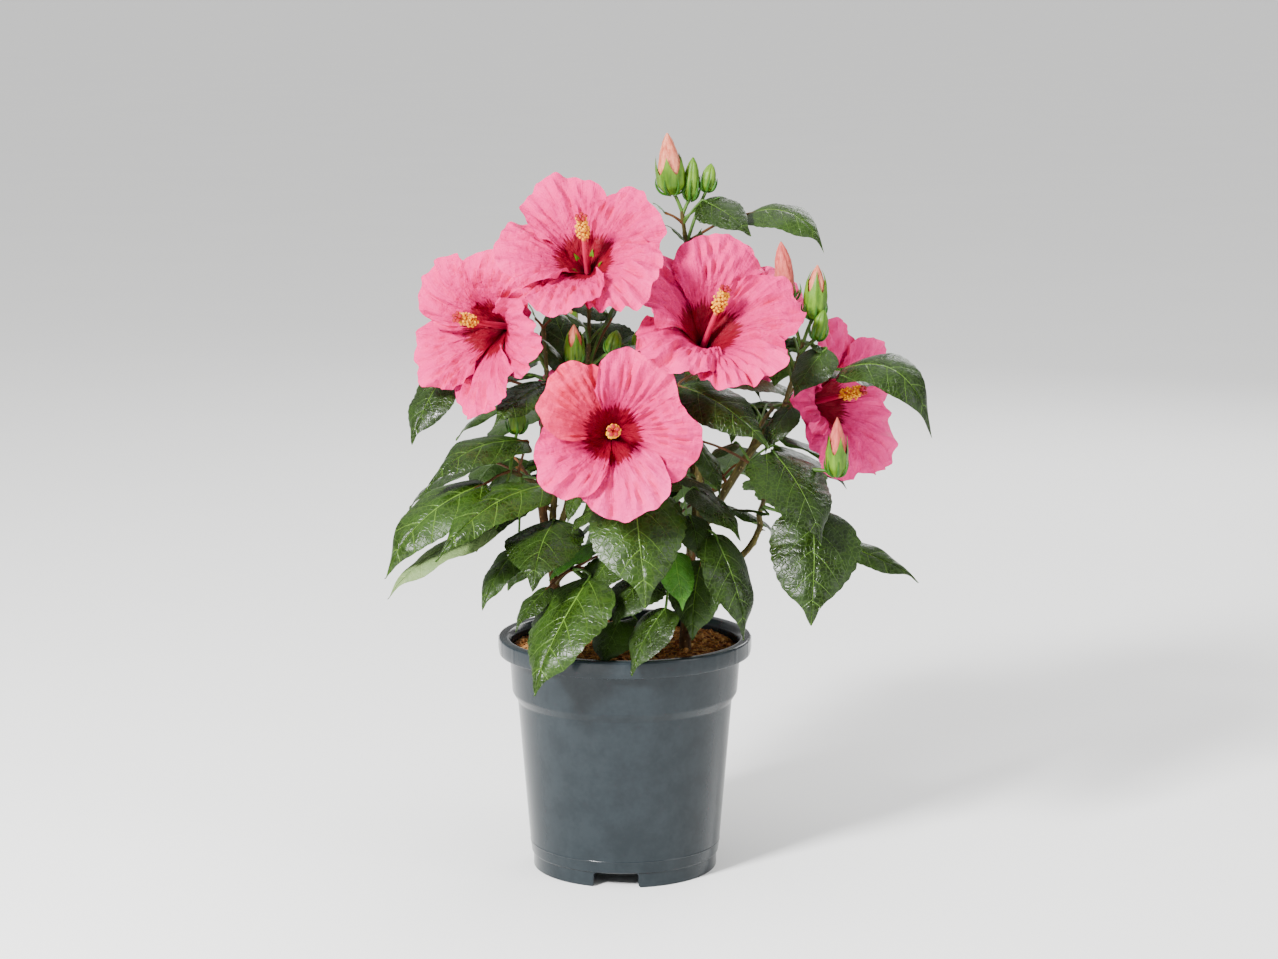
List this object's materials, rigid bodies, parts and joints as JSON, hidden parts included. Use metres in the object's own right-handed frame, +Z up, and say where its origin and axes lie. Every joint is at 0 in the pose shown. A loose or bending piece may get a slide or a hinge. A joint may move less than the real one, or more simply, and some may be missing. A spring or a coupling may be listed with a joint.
{
  "type": "potted hibiscus shrub",
  "caption": "Potted hibiscus shrub with large open flowers, buds and glossy leaves on woody stems, growing in a round plastic nursery pot with a ring foot.",
  "frame": {"origin": "centre of the plant's footprint box, on the plane under the pot's ring foot", "axes": "+Z up along the pot's axis, -Y towards the viewer of the picture, +X to that viewer's right"},
  "size_m": [0.3962, 0.3096, 0.5518],
  "materials": {
    "pot_plastic": "moulded slate grey plastic, smooth and fairly glossy",
    "coir": "coarse reddish brown coir fibre, matte",
    "bark": "grey brown young bark with fine ridges and pores",
    "green_bark": "green young bark, satin",
    "foliage": "glossy dark green leaves; flowers with coral pink petals, deep red throats and a yellow tipped column"
  },
  "bodies": {
    "root": {"pot": "pot_plastic", "growing_mix": "coir", "stem_left": "bark", "stem_right": "bark", "bough_top": "green_bark", "bough_right": "green_bark", "bough_low_right": "green_bark", "bough_middle": "green_bark", "bough_back_left": "green_bark", "bough_back_right": "green_bark", "foliage_top": "foliage", "foliage_top_flower": "foliage", "foliage_left_flower": "foliage", "foliage_centre_flower": "foliage", "foliage_right_buds": "foliage", "foliage_right_flower": "foliage", "foliage_right": "foliage", "foliage_front_flower": "foliage", "foliage_left": "foliage", "foliage_low_left": "foliage", "foliage_low_right": "foliage", "foliage_back_left": "foliage", "foliage_back_flower": "foliage", "foliage_back_side_left": "foliage", "foliage_back_right": "foliage", "foliage_back_side_right": "foliage", "foliage_back_low": "foliage"}
  },
  "joints": []
}
